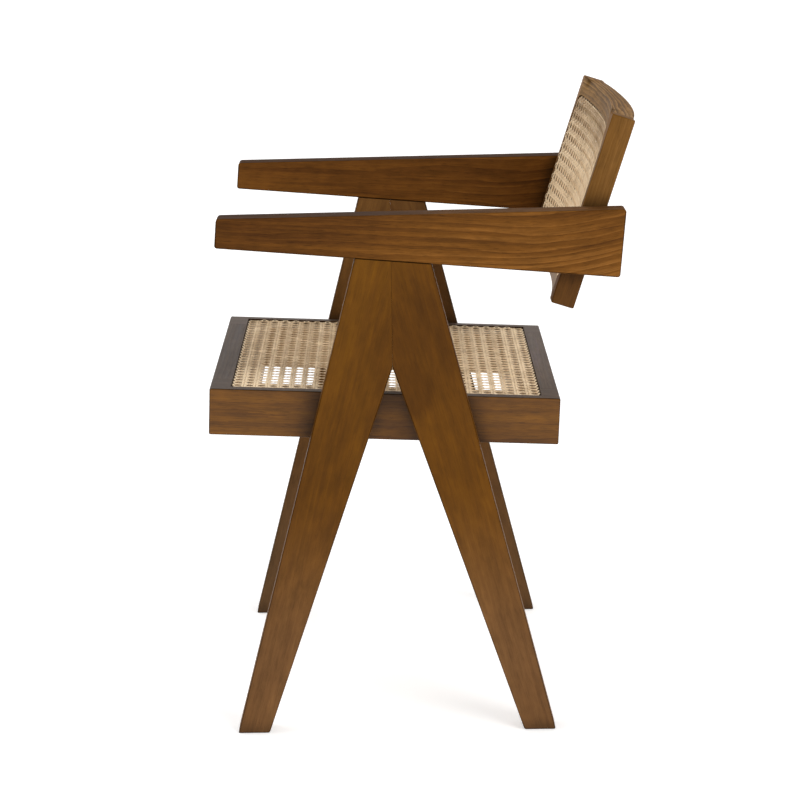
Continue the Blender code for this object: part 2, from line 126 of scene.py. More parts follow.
# Rebates under the weave: bare wood inside the frame, pale ledges, and painted shade along the walls
# and at the ledges' borders
BARE_INSET = 0.002
LEVEL_MARGIN = 0.0005
FACE_REACH = 0.0006
BARE_WOOD = (0.38, 0.26, 0.145, 1.0)
LEDGE_WOOD = (0.58, 0.42, 0.24, 1.0)
# Painted shade in the rebates' recesses
RECESS_SHADE = (0.030, 0.014, 0.006, 1.0)

# Glue in the legs' seams, with (height, half thickness) along its profile
GLUE_INSET = 0.0022
GLUE_WIDTH = 0.004
GLUE_PROFILE = ((0.4885, 0.00006), (0.492, 0.00011), (0.560, 0.00013), (0.6205, 0.00012))
GLUE_GRAIN = ((500, 500, 40), 2.0)
GLUE_TONES = ((0.3, (0.045, 0.016, 0.003)), (0.7, (0.095, 0.036, 0.006)))
GLUE_ROUGHNESS = 0.7

# Teak's figure: noises as (counts per metre, detail, roughness) along the log, and growth rings
BROAD_NOISE = ((16, 16, 2.6), 3.0, 0.55)
STREAK_NOISE = ((190, 190, 5.0), 4.0, 0.6)
FIBRE_NOISE = ((1100, 1100, 16), 3.0, 0.6)
PORE_NOISE = ((1700, 1700, 60), 1.0)
CLOUD_NOISE = ((70, 70, 26), 5.0, 0.65)
RING_DRIFT = 0.09
RING_WAVES = {"Distortion": 14.0, "Detail": 4.0, "Detail Scale": 0.5, "Detail Roughness": 0.6}
BROAD_SHARE = 0.48
STREAK_SHARE = 0.28
FIBRE_SPAN = (0.30, 0.55)
FIBRE_DARK = 0.22
PORE_SPAN = (0.33, 0.42)
PORE_DARK = 0.4
CLOUD_STOPS = ((0.30, 0.78), (0.70, 1.14))
GLOSS_SPAN = (0.30, 0.70)
GLOSS_SPREAD = (-0.06, 0.07)
SHEEN_SPAN = (0.80, 0.97)
EDGE_SHEEN = 0.1
FIBRE_RELIEF = 0.5
GRAIN_BUMP = {"Strength": 0.14, "Distance": 0.0003}

# Smooth shading of the eased edges
WELD_REACH = 0.00002
CREASE_ANGLE = radians(50)

# Where each board's middle lies in its log, and how far along it
SIDE_LOGS = {"left": 0.0, "right": 3.7}
SEAT_END_LOGS = {"front": 5.0, "rear": 6.0}
BACK_RAIL_LOGS = {"top": 7.0, "bottom": 8.0}
LEG_PITH = 0.11
LEG_PITH_TURN = 0.3
ARM_PITH = (0.07, 0.13, 0.0)
SEAT_SIDE_PITH = (0.16, 0.05, 1.0)
SEAT_END_PITH = (0.10, 0.10, 0.0)
STILE_PITH = (0.03, 0.15, 2.0)
BACK_RAIL_PITH = (0.12, 0.09, 0.0)
ARM_SWEEP_START = 0.10
ARM_SWEEP = 1.1

# Stains of dark, middle and light tones, with the fades and spots of each board, and the painted light
# and shade on feet, edges, corners and top faces
TONE_STOPS = (0.30, 0.49, 0.68)
LEG_TONES = {
    "front": ((0.104, 0.037, 0.0018), (0.152, 0.057, 0.0026), (0.198, 0.080, 0.008)),
    "rear": ((0.092, 0.032, 0.0016), (0.140, 0.051, 0.0024), (0.185, 0.073, 0.007)),
}
# Paler, greyer tones towards the legs' feet: a painted reflection of the bright floor
LEG_FOOT_REFLECTION_TONES = {
    "left": ((0.141, 0.064, 0.022), (0.200, 0.095, 0.034), (0.256, 0.128, 0.052)),
    "right": ((0.112, 0.058, 0.023), (0.160, 0.086, 0.036), (0.210, 0.116, 0.054)),
}
LEG_FOOT_REFLECTION_SPAN = ("Z", 0.08, 0.34)
LEG_FOOT_REFLECTION_SHARES = {
    "left_front": (0.9, 0.0),
    "left_rear": (0.9, 0.0),
    "right_front": (0.9, 0.40),
    "right_rear": (0.7, 0.42),
}
LEG_LOOK = {"rings": 0.05, "gloss": 0.62, "sheen": 0.10, "grain": 0.45}
# The right legs' spots and fades darken them lower down: painted shade. The left front leg's Y fade
# paints a highlight along its front edge and darkens it towards the seam.
LEG_SPOTS = {
    "left": (
        ((LEFT_OUTER_FACE, LEG_AXIS, 0.63), 0.085, 0.13),
        ((LEFT_OUTER_FACE, LEG_AXIS, 0.515), 0.060, -0.09),
        ((LEFT_OUTER_FACE, LEG_AXIS + 0.020, 0.455), 0.045, -0.40),
    ),
    "right": (
        ((RIGHT_INNER_FACE, LEG_AXIS, 0.63), 0.085, 0.05),
        ((RIGHT_INNER_FACE, LEG_AXIS - 0.187, 0.0), 0.160, -0.20),
    ),
}
LEG_FADES = {
    "left_front": (
        ("Z", 0.36, 0.60, -0.125, 0.005),
        ("Y", LEG_AXIS - 0.050, LEG_AXIS, 0.06, -0.07),
    ),
    "left_rear": (
        ("Z", 0.42, 0.56, 0.015, -0.10),
        ("Y", LEG_AXIS, LEG_AXIS + 0.040, 0.03, 0.0),
    ),
    "right_front": (("Z", 0.40, 0.60, -0.08, 0.07),),
    "right_rear": (("Z", 0.30, 0.64, -0.27, -0.05),),
}
ARM_TONES = ((0.076, 0.026, 0.0045), (0.164, 0.061, 0.0090), (0.300, 0.123, 0.025))
# The arms' tops: tints of painted reflection and shade
ARM_TOP_LIGHT_TINTS = {"left": (0.80, 0.90, 1.5), "right": (0.5, 0.5, 0.7)}
# The arms' edges: painted shade below and beside, and a painted highlight along the upper ones
ARM_LOOK = {
    "rings": ("Y", -0.16, 0.10, 0.05, 0.14),
    "ring_rate": 38.0,
    "gloss": 0.60,
    "sheen": 0.06,
    "edges": (0.18, 1.25),
}
ARM_FADES = {"left": ("Y", -0.22, 0.04, -0.08, 0.045), "right": ("Y", -0.20, 0.10, 0.03, -0.01)}
RAIL_TONES = ((0.085, 0.029, 0.002), (0.165, 0.062, 0.004), (0.235, 0.096, 0.010))
# The rails' top tint greys and cools them: a painted reflection of the walls
RAIL_LOOK = {"rings": 0.10, "gloss": 0.46, "sheen": 0.28, "top_light_tint": (0.80, 1.45, 15.0)}
STILE_TONES = ((0.168, 0.074, 0.014), (0.243, 0.110, 0.026), (0.300, 0.146, 0.042))
# Darker tones on the stiles below the arms: painted shade
STILE_FOOT_SHADE_TONES = ((0.092, 0.037, 0.008), (0.127, 0.052, 0.011), (0.160, 0.070, 0.016))
STILE_LOOK = {
    "rings": 0.08,
    "gloss": 0.55,
    "sheen": 0.08,
    "grain": 0.6,
    "edges": (0.85, 0.9),
    "foot_light_and_shade": ("Z", 0.60, 0.66, 1.0, 0.0, STILE_FOOT_SHADE_TONES),
}
BACK_TONES = ((0.146, 0.073, 0.021), (0.335, 0.182, 0.060), (0.450, 0.255, 0.098))
BACK_LOOK = {
    "rings": ("Z", 0.784, 0.796, 0.12, 0.36),
    "gloss": 0.55,
    "edges": (0.75, 0.75),
    "top_light_tint": (1.05, 1.02, 1.0),
    "fades": (("Z", 0.784, 0.796, 0.0, -0.11),),
}
BACK_SHEENS = {"top": 0.05, "bottom": 0.40}
# Painted reflection and shade on faces that look up
TOP_LIGHT_SPAN = (0.55, 0.9)
EDGE_STOPS = ((0.74, 0.0), (0.95, 1.0))
# Painted shade and highlight on eased edges, by how far they face up
EDGE_LIGHT_SPAN = (0.10, 0.45)
# Painted shade in corners and crevices, from ambient occlusion: its reach, samples and ramp
CORNER_SHADE_REACH = 0.030
CORNER_SHADE_SAMPLES = 8
CORNER_SHADE_STOPS = ((0.46, 0.45), (0.86, 1.0))

# Cane
CANE_BLOTCHES = ((32, 32, 32), 4.0, 0.6)
CANE_SPECKS = ((700, 700, 700), 2.0)
BLOTCH_SHARE = 0.80
SPECK_SHARE = 0.25
CANE_TONES = ((0.40, (0.46, 0.30, 0.155)), (0.75, (0.71, 0.51, 0.295)), (1.0, (1.0, 0.78, 0.51)))
CANE_GLOSS = ((0.30, 0.42), (0.70, 0.60))
CANE_SHEEN = 0.35
CANE_BUMP = {"Strength": 0.12, "Distance": 0.0003}
# The back panels' fades darken their cane towards the top rail: painted shade. The seat's fade is
# darker towards the front, and its spot is a painted pool of light on its near-left corner.
CANE_FADES = {
    "seat": ("Y", -0.12, 0.05, -0.12, 0.02),
    "back_front": ("Z", 0.69, 0.80, 0.14, -0.62),
    "back_rear": ("Z", 0.62, 0.80, -0.14, -0.26),
}
CANE_SPOTS = {
    "seat": (((0.205, -0.245, 0.45), 0.15, 0.60),),
    "back_front": (((0.20, 0.25, 0.78), 0.06, -0.06),),
    "back_rear": (),
}

# Dowels and screws
BEECH_FLECKS = ((900, 900, 900), 2.0)
BEECH_TONES = ((0.35, (0.50, 0.33, 0.18)), (0.65, (0.66, 0.47, 0.28)))
BEECH_ROUGHNESS = 0.6
STEEL_SCUFFS = ((400, 1500, 1500), 3.0)
STEEL_TONES = ((0.35, (0.24, 0.235, 0.23)), (0.65, (0.42, 0.41, 0.40)))
STEEL_GLOSS = ((0.3, 0.28), (0.7, 0.46))

# Studio: the floor, the walls' glow by height, and the suns as (direction, strength, angle)
FLOOR_RADIUS = 40.0
FLOOR_SIDES = 96
FLOOR_DROP = 0.0004
FLOOR_MOTTLE = ((3, 3, 3), 3.0)
FLOOR_TONES = ((0.3, 0.88), (0.7, 0.90))
FLOOR_ROUGHNESS = 0.9
FLOOR_SHEEN = 0.1
FLOOR_GLOW = 0.46
WALL_GLOW = ((0.0, 0.61), (0.35, 0.56), (0.8, 0.38))
SUNS = {
    "key": ((0.64, 0.60, 0.48), 1.45, radians(32)),
    "fill": ((-0.35, -0.62, 0.70), 1.05, radians(80)),
}

# Colour sockets of a Mix node
MIX_FIRST = 6
MIX_SECOND = 7
MIX_RESULT = 2

# Camera of the photograph
CAMERA_PLACE = (3.23391, -0.04402, 1.17560)
CAMERA_YAW = 0.00384
CAMERA_PITCH = -0.24062
CAMERA_ROLL = -0.01223
FOCAL_PIXELS = 2424.35
IMAGE_PIXELS = 800
SENSOR_WIDTH = 36.0


def new_node(tree, kind, settings=(), inputs=()):
    """A shader node with its settings and its unlinked inputs."""
    node = tree.nodes.new(kind)
    for key, value in dict(settings).items():
        setattr(node, key, value)
    for key, value in dict(inputs).items():
        node.inputs[key].default_value = value
    return node


def link(tree, source, target):
    tree.links.new(source, target)


def math_node(tree, operation, first, second):
    """A Math node; each of first and second is a socket or a number."""
    node = new_node(tree, "ShaderNodeMath", {"operation": operation})
    for socket, value in zip(node.inputs, (first, second)):
        if isinstance(value, bpy.types.NodeSocket):
            link(tree, value, socket)
        else:
            socket.default_value = value
    return node.outputs[0]


def plus(tree, first, second):
    return math_node(tree, "ADD", first, second)


def times(tree, first, second):
    return math_node(tree, "MULTIPLY", first, second)


def size_of(tree, value):
    return math_node(tree, "ABSOLUTE", value, 0.0)


def ramp_node(tree, factor, stops):
    """A colour ramp from (position, colour) stops; a number stands for a grey."""
    node = new_node(tree, "ShaderNodeValToRGB")
    elements = node.color_ramp.elements
    while len(elements) < len(stops):
        elements.new(0.5)
    for element, (position, colour) in zip(elements, stops):
        element.position = position
        element.color = (*colour, 1.0) if isinstance(colour, tuple) else (colour, colour, colour, 1.0)
    link(tree, factor, node.inputs["Fac"])
    return node.outputs["Color"]


def noise_node(tree, vector, scale, detail=2.0, roughness=0.5):
    """Noise over the coordinates times scale, a triple of counts per metre."""
    stretch = new_node(tree, "ShaderNodeVectorMath", {"operation": "MULTIPLY"})
    stretch.inputs[1].default_value = scale
    link(tree, vector, stretch.inputs[0])
    inputs = {"Scale": 1.0, "Detail": detail, "Roughness": roughness}
    noise = new_node(tree, "ShaderNodeTexNoise", (), inputs)
    link(tree, stretch.outputs[0], noise.inputs["Vector"])
    return noise.outputs["Fac"]


def frame_place(tree):
    """The coordinates of the frame, which all pieces share."""
    return new_node(tree, "ShaderNodeTexCoord").outputs["Object"]


def split_axes(tree, vector):
    """The X, Y and Z sockets of a vector."""
    split = new_node(tree, "ShaderNodeSeparateXYZ")
    link(tree, vector, split.inputs[0])
    return split.outputs


def joined_axes(tree, *axes):
    """A vector from its X, Y and Z sockets."""
    joined = new_node(tree, "ShaderNodeCombineXYZ")
    for socket, axis in zip(joined.inputs, axes):
        link(tree, axis, socket)
    return joined.outputs["Vector"]


def mapped(tree, vector, matrix, kind="POINT"):
    """A vector turned by a matrix, and moved too if it is a point."""
    node = new_node(tree, "ShaderNodeMapping", {"vector_type": kind})
    node.inputs["Rotation"].default_value = matrix.to_euler()
    if kind == "POINT":
        node.inputs["Location"].default_value = matrix.to_translation()
    link(tree, vector, node.inputs["Vector"])
    return node.outputs["Vector"]


def multiply_colour(tree, colour, factor):
    node = new_node(tree, "ShaderNodeMix", {"data_type": "RGBA", "blend_type": "MULTIPLY"})
    node.inputs["Factor"].default_value = 1.0
    link(tree, colour, node.inputs[MIX_FIRST])
    link(tree, factor, node.inputs[MIX_SECOND])
    return node.outputs[MIX_RESULT]


def mix_colour(tree, factor, colour, other):
    """Goes from colour to other, a socket or a plain colour, by factor."""
    node = new_node(tree, "ShaderNodeMix", {"data_type": "RGBA"})
    link(tree, factor, node.inputs["Factor"])
    link(tree, colour, node.inputs[MIX_FIRST])
    if isinstance(other, bpy.types.NodeSocket):
        link(tree, other, node.inputs[MIX_SECOND])
    else:
        node.inputs[MIX_SECOND].default_value = other
    return node.outputs[MIX_RESULT]


def new_material(name):
    material = bpy.data.materials.new(name)
    material.use_nodes = True
    tree = material.node_tree
    return material, tree, tree.nodes["Principled BSDF"]


def teak(name, board, figure):
    """Stained teak. board is the matrix from the frame to the log, whose pith is its Z axis."""
    material, tree, shader = new_material(name)
    here = frame_place(tree)
    log = mapped(tree, unbowed(tree, here, figure.bow) if figure.bow else here, board)
    if figure.sweep:
        log = swept(tree, log, figure.sweep)
    streak = noise_node(tree, log, *STREAK_NOISE)
    fibre = noise_node(tree, log, *FIBRE_NOISE)
    pore = noise_node(tree, log, *PORE_NOISE)
    cloud = noise_node(tree, log, *CLOUD_NOISE)
    line = ramp_node(tree, fibre, list(zip(FIBRE_SPAN, (1.0 - FIBRE_DARK * figure.grain, 1.0))))
    mark = ramp_node(tree, pore, list(zip(PORE_SPAN, (1.0 - PORE_DARK * figure.grain, 1.0))))
    flatness = flat_share(tree, board)

    shade = wood_shade(tree, here, log, streak, figure)
    colour = ramp_node(tree, shade, list(zip(TONE_STOPS, figure.tones)))
    # Other tones lower down: a painted floor reflection on the legs, painted shade under the arms on
    # the stiles
    if figure.foot_light_and_shade:
        *span, tones = figure.foot_light_and_shade
        foot_light_and_shade = ramp_node(tree, shade, list(zip(TONE_STOPS, tones)))
        colour = mix_colour(tree, faded(tree, here, span), colour, foot_light_and_shade)
    # Among these layers: painted shade and highlight on eased edges, painted shade in corners, painted
    # reflection and shade on faces that look up
    layers = [line, mark, ramp_node(tree, cloud, CLOUD_STOPS)]
    layers += [painted_edge_light(tree, flatness, figure.edges), painted_corner_shade(tree)]
    if figure.top_light_tint:
        layers.append(painted_top_light(tree, figure.top_light_tint))
    for layer in layers:
        colour = multiply_colour(tree, colour, layer)
    if figure.rebate:
        colour = rebated(tree, here, figure.rebate, colour)
    link(tree, colour, shader.inputs["Base Color"])

    roughness = [figure.gloss + spread for spread in GLOSS_SPREAD]
    gloss = ramp_node(tree, streak, list(zip(GLOSS_SPAN, roughness)))
    link(tree, gloss, shader.inputs["Roughness"])
    sheen = ramp_node(tree, flatness, list(zip(SHEEN_SPAN, (EDGE_SHEEN * figure.sheen, figure.sheen))))
    link(tree, sheen, shader.inputs["Specular IOR Level"])
    bump = new_node(tree, "ShaderNodeBump", (), GRAIN_BUMP)
    link(tree, plus(tree, times(tree, fibre, FIBRE_RELIEF), mark), bump.inputs["Height"])
    link(tree, bump.outputs["Normal"], shader.inputs["Normal"])
    return material


def wood_shade(tree, here, log, streak, figure):
    """How light the wood is, from its figure in the log and its fades and spots in the frame."""
    shade = times(tree, noise_node(tree, log, *BROAD_NOISE), BROAD_SHARE)
    shade = plus(tree, shade, times(tree, streak, STREAK_SHARE))
    contrast = faded(tree, here, figure.rings) if isinstance(figure.rings, tuple) else figure.rings
    shade = plus(tree, shade, times(tree, growth_rings(tree, log, figure.ring_rate), contrast))
    for fade in figure.fades:
        shade = plus(tree, shade, faded(tree, here, fade))
    for patch in figure.spots:
        shade = plus(tree, shade, spotted(tree, here, patch))
    return shade


def growth_rings(tree, log, rate):
    """Rings round the pith, which change slowly along the log."""
    slow = new_node(tree, "ShaderNodeMapping", (), {"Scale": (1.0, 1.0, RING_DRIFT)})
    link(tree, log, slow.inputs["Vector"])
    settings = {"wave_type": "RINGS", "rings_direction": "Z", "wave_profile": "SAW"}
    ring = new_node(tree, "ShaderNodeTexWave", settings, {"Scale": rate, **RING_WAVES})
    link(tree, slow.outputs["Vector"], ring.inputs["Vector"])
    return ring.outputs["Fac"]


def unbowed(tree, here, curvature):
    """Moves each place rearward by the bow that it has there, so that the grain runs straight."""
    x, y, z = split_axes(tree, here)
    return joined_axes(tree, x, plus(tree, y, times(tree, times(tree, x, x), curvature)), z)


def swept(tree, log, sweep):
    """Bends the grain sideways, ever more past a place along it: (start, curvature)."""
    start, curvature = sweep
    x, y, z = split_axes(tree, log)
    past = math_node(tree, "MAXIMUM", math_node(tree, "SUBTRACT", z, start), 0.0)
    bend = times(tree, times(tree, past, past), curvature)
    return joined_axes(tree, x, plus(tree, y, bend), z)


def faded(tree, here, fade):
    """A lighter or darker tone along one axis: (axis, start, end, change at start, change at end)."""
    axis, start, end, first, last = fade
    spread = new_node(tree, "ShaderNodeMapRange", {"interpolation_type": "SMOOTHSTEP"})
    spread.inputs["From Min"].default_value = start
    spread.inputs["From Max"].default_value = end
    spread.inputs["To Min"].default_value = first
    spread.inputs["To Max"].default_value = last
    link(tree, split_axes(tree, here)[axis], spread.inputs["Value"])
    return spread.outputs["Result"]


def spotted(tree, here, patch):
    """A lighter or darker tone about a place: (middle, radius, change in the middle)."""
    middle, radius, change = patch
    away = new_node(tree, "ShaderNodeVectorMath", {"operation": "DISTANCE"})
    link(tree, here, away.inputs[0])
    away.inputs[1].default_value = middle
    spread = new_node(tree, "ShaderNodeMapRange", {"interpolation_type": "SMOOTHSTEP"})
    spread.inputs["From Max"].default_value = radius
    spread.inputs["To Min"].default_value = change
    spread.inputs["To Max"].default_value = 0.0
    link(tree, away.outputs["Value"], spread.inputs["Value"])
    return spread.outputs["Result"]


def upward(tree):
    """The share of a surface's normal that points up."""
    surface = new_node(tree, "ShaderNodeNewGeometry")
    return split_axes(tree, surface.outputs["Normal"])["Z"]


def painted_top_light(tree, tint):
    """Painted reflection and shade: a tint on the faces that look up."""
    return ramp_node(tree, upward(tree), list(zip(TOP_LIGHT_SPAN, (1.0, tint))))


def painted_edge_light(tree, flatness, edges):
    """Painted shade on the eased edges between a board's faces, and a painted highlight where a value
    is over one: (below or beside, above).
    """
    edge_light = ramp_node(tree, upward(tree), list(zip(EDGE_LIGHT_SPAN, edges)))
    flat = ramp_node(tree, flatness, EDGE_STOPS)
    return mix_colour(tree, flat, edge_light, (1.0, 1.0, 1.0, 1.0))


def flat_share(tree, board):
    """How near a surface's normal is to one of the board's axes."""
    surface = new_node(tree, "ShaderNodeNewGeometry")
    x, y, z = split_axes(tree, mapped(tree, surface.outputs["Normal"], board, "VECTOR"))
    largest = size_of(tree, x)
    for axis in (y, z):
        largest = math_node(tree, "MAXIMUM", largest, size_of(tree, axis))
    return largest


def painted_corner_shade(tree):
    """Painted shade in the corners where pieces meet, from ambient occlusion."""
    settings = {"samples": CORNER_SHADE_SAMPLES}
    corner = new_node(tree, "ShaderNodeAmbientOcclusion", settings, {"Distance": CORNER_SHADE_REACH})
    return ramp_node(tree, corner.outputs["AO"], CORNER_SHADE_STOPS)


def rebated(tree, here, rebate, colour):
    """Bare wood inside a caned frame and on its ledges, with painted shade at the ledges' borders, and
    along the rebates' walls where they are shaded.
    """
    axes = split_axes(tree, mapped(tree, here, rebate.panel))
    square = times(tree, axes["X"], axes["X"])
    sag = math_node(tree, "MINIMUM", times(tree, square, rebate.curvature), rebate.sagitta)
    depth = plus(tree, axes["Z"], sag)
    low, high = rebate.inside
    between = levelled(tree, depth, (low + high) / 2, (high - low) / 2)
    inside = times(tree, within(tree, axes, rebate.opening, FACE_REACH), between)
    colour = mix_colour(tree, inside, colour, BARE_WOOD)
    on_panel = within(tree, axes, rebate.half_sizes, FACE_REACH)
    on_bare = within(tree, axes, rebate.half_sizes, -BARE_INSET)
    for floor, rim in rebate.levels:
        # Painted shade on the walls of the rebate
        if rebate.shaded_walls:
            wall = levelled(tree, depth, (floor + rim) / 2, abs(rim - floor) / 2 - LEVEL_MARGIN)
            colour = mix_colour(tree, times(tree, wall, on_panel), colour, RECESS_SHADE)
        # Painted shade at the ledge's border, with pale wood inside it
        ledge = times(tree, levelled(tree, depth, floor, LEVEL_MARGIN), on_panel)
        colour = mix_colour(tree, ledge, colour, RECESS_SHADE)
        colour = mix_colour(tree, times(tree, ledge, on_bare), colour, LEDGE_WOOD)
    return colour


def levelled(tree, value, level, margin):
    """One where value lies within margin of level, else nought."""
    node = new_node(tree, "ShaderNodeMath", {"operation": "COMPARE"})
    link(tree, value, node.inputs[0])
    node.inputs[1].default_value = level
    node.inputs[2].default_value = margin
    return node.outputs[0]


def within(tree, axes, half_sizes, grow):
    """One over a rectangle, given by its half sizes, that is grown on all sides."""
    sides = []
    for axis, half in zip(("X", "Y"), half_sizes):
        sides.append(math_node(tree, "LESS_THAN", size_of(tree, axes[axis]), half + grow))
    return times(tree, *sides)


def cane(panel):
    """Split cane: a glossy straw skin, each strand with a tone of its own."""
    material, tree, shader = new_material(f"{panel}_split_cane")
    here = frame_place(tree)
    tone = new_node(tree, "ShaderNodeAttribute", {"attribute_name": "tone"})
    blotch = noise_node(tree, here, *CANE_BLOTCHES)
    speck = noise_node(tree, here, *CANE_SPECKS)
    shade = plus(tree, tone.outputs["Fac"], times(tree, blotch, BLOTCH_SHARE))
    shade = plus(tree, shade, times(tree, speck, SPECK_SHARE))
    # Painted shade towards the back's top rail, and a painted pool of light on the seat's near-left
    # corner
    shade = plus(tree, shade, faded(tree, here, CANE_FADES[panel]))
    for patch in CANE_SPOTS[panel]:
        shade = plus(tree, shade, spotted(tree, here, patch))
    link(tree, ramp_node(tree, shade, CANE_TONES), shader.inputs["Base Color"])
    link(tree, ramp_node(tree, speck, CANE_GLOSS), shader.inputs["Roughness"])
    shader.inputs["Specular IOR Level"].default_value = CANE_SHEEN
    bump = new_node(tree, "ShaderNodeBump", (), CANE_BUMP)
    link(tree, speck, bump.inputs["Height"])
    link(tree, bump.outputs["Normal"], shader.inputs["Normal"])
    return material


def beech(name):
    """Bare beech with short flecks."""
    material, tree, shader = new_material(name)
    fleck = noise_node(tree, frame_place(tree), *BEECH_FLECKS)
    link(tree, ramp_node(tree, fleck, BEECH_TONES), shader.inputs["Base Color"])
    shader.inputs["Roughness"].default_value = BEECH_ROUGHNESS
    return material


def zinc_steel(name):
    """Dull zinc on steel, scuffed along the screws."""
    material, tree, shader = new_material(name)
    scuff = noise_node(tree, frame_place(tree), *STEEL_SCUFFS)
    link(tree, ramp_node(tree, scuff, STEEL_TONES), shader.inputs["Base Color"])
    link(tree, ramp_node(tree, scuff, STEEL_GLOSS), shader.inputs["Roughness"])
    shader.inputs["Metallic"].default_value = 1.0
    return material


def soft_edges():
    """A node group that welds a piece's faces and shades its eased edges smooth."""
    group = bpy.data.node_groups.new("soft_edges", "GeometryNodeTree")
    group.interface.new_socket("Geometry", in_out="INPUT", socket_type="NodeSocketGeometry")
    group.interface.new_socket("Geometry", in_out="OUTPUT", socket_type="NodeSocketGeometry")
    start = group.nodes.new("NodeGroupInput")
    end = group.nodes.new("NodeGroupOutput")
    weld = new_node(group, "GeometryNodeMergeByDistance", (), {"Distance": WELD_REACH})
    smooth = new_node(group, "GeometryNodeSetShadeSmooth", {"domain": "FACE"})
    crease = new_node(group, "GeometryNodeSetShadeSmooth", {"domain": "EDGE"}, {"Shade Smooth": False})
    angle = new_node(group, "GeometryNodeInputMeshEdgeAngle")
    steep = new_node(group, "FunctionNodeCompare", {"operation": "GREATER_THAN"})
    steep.inputs[1].default_value = CREASE_ANGLE
    link(group, start.outputs[0], weld.inputs["Geometry"])
    link(group, weld.outputs["Geometry"], smooth.inputs["Geometry"])
    link(group, smooth.outputs["Geometry"], crease.inputs["Geometry"])
    link(group, angle.outputs["Unsigned Angle"], steep.inputs[0])
    link(group, steep.outputs["Result"], crease.inputs["Selection"])
    link(group, crease.outputs["Geometry"], end.inputs[0])
    return group


def dress(node_name, material, edges=None):
    """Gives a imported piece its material, and softer shading where edges are eased."""
    node = NODES[node_name]
    node.material_slots[0].material = material
    if edges:
        node.modifiers.new("edges", "NODES").node_group = edges
        node.modifiers.new("shading", "WEIGHTED_NORMAL").keep_sharp = True


@dataclass
class Figure:
    """How one board's wood looks: its tones, its ring contrast, its shine, its special places, and its
    painted light and shade.
    """

    tones: tuple
    rings: float | tuple
    gloss: float
    sheen: float
    grain: float = 1.0
    ring_rate: float = 60.0
    # Painted shade on the eased edges, (below or beside, above); a value over one is a painted
    # highlight
    edges: tuple = (0.25, 0.25)
    # Tint of painted reflection and shade on the faces that look up
    top_light_tint: tuple = ()
    fades: tuple = ()
    spots: tuple = ()
    sweep: tuple = ()
    foot_light_and_shade: tuple = ()
    bow: float = 0.0
    rebate: object = None


@dataclass
class Rebate:
    """Where a panel is let in.

    The matrix to its middle, half sizes of the panel and of the opening behind it, its bow, the
    (floor, rim) levels of its rebates, and the levels between which the frame's inner faces lie.
    """

    panel: Matrix
    half_sizes: tuple
    opening: tuple
    curvature: float
    sagitta: float
    levels: tuple
    inside: tuple
    # Whether the rebates' walls get painted shade
    shaded_walls: bool


def board_matrix(node_name, turn, pith):
    """From the frame to a log that runs along Z, with the board's middle at pith."""
    low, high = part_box(node_name)
    return Matrix.Translation(pith) @ turn.to_4x4() @ Matrix.Translation(-(low + high) / 2)


def about_x(angle):
    return Matrix.Rotation(angle, 3, "X")


def panel_rebates(seat, back):
    """The rebates of the seat and of the back, which has one on each face."""
    seat_middle = (FRONT_RIM + SEAT_DEPTH - REAR_RIM) / 2
    off_middle = abs(seat_middle - SEAT_DEPTH / 2)
    back_middle = Matrix.Translation((0, -BACK_SAGITTA, -BACK_HEIGHT / 2)) @ back.inverted()
    return (
        Rebate(
            panel=Matrix.Translation((0, -seat_middle, 0)) @ seat.inverted(),
            half_sizes=(SEAT_HALF - SIDE_RIM, (SEAT_DEPTH - FRONT_RIM - REAR_RIM) / 2),
            opening=(SEAT_HALF - RAIL_WIDTH, SEAT_DEPTH / 2 - RAIL_WIDTH + off_middle),
            curvature=0.0,
            sagitta=0.0,
            levels=((-SEAT_LEDGE_DEPTH, 0.0),),
            inside=(LEVEL_MARGIN - RAIL_HEIGHT, -SEAT_LEDGE_DEPTH - LEVEL_MARGIN),
            shaded_walls=True,
        ),
        Rebate(
            panel=Matrix.Rotation(radians(90), 4, "X") @ back_middle,
            half_sizes=(BACK_HALF - BACK_SIDE_RIM, BACK_HEIGHT / 2 - BACK_RIM),
            opening=(BOW_HALF, BACK_HEIGHT / 2 - BACK_RAIL_HEIGHT),
            curvature=0.5 / BOW_RADIUS,
            sagitta=BACK_SAGITTA,
            levels=((BACK_LEDGE_DEPTH, 0.0), (BACK_THICKNESS - BACK_LEDGE_DEPTH, BACK_THICKNESS)),
            inside=(BACK_LEDGE_DEPTH + LEVEL_MARGIN, BACK_THICKNESS - BACK_LEDGE_DEPTH - LEVEL_MARGIN),
            shaded_walls=False,
        ),
    )


def dress_board(node_name, edges, turn, pith, figure):
    material = teak(f"{node_name}_grain", board_matrix(node_name, turn, pith), figure)
    dress(node_name, material, edges)


def pith_at(pith, along):
    """A place in a log, moved along it."""
    x, y, z = pith
    return (x, y, z + along)


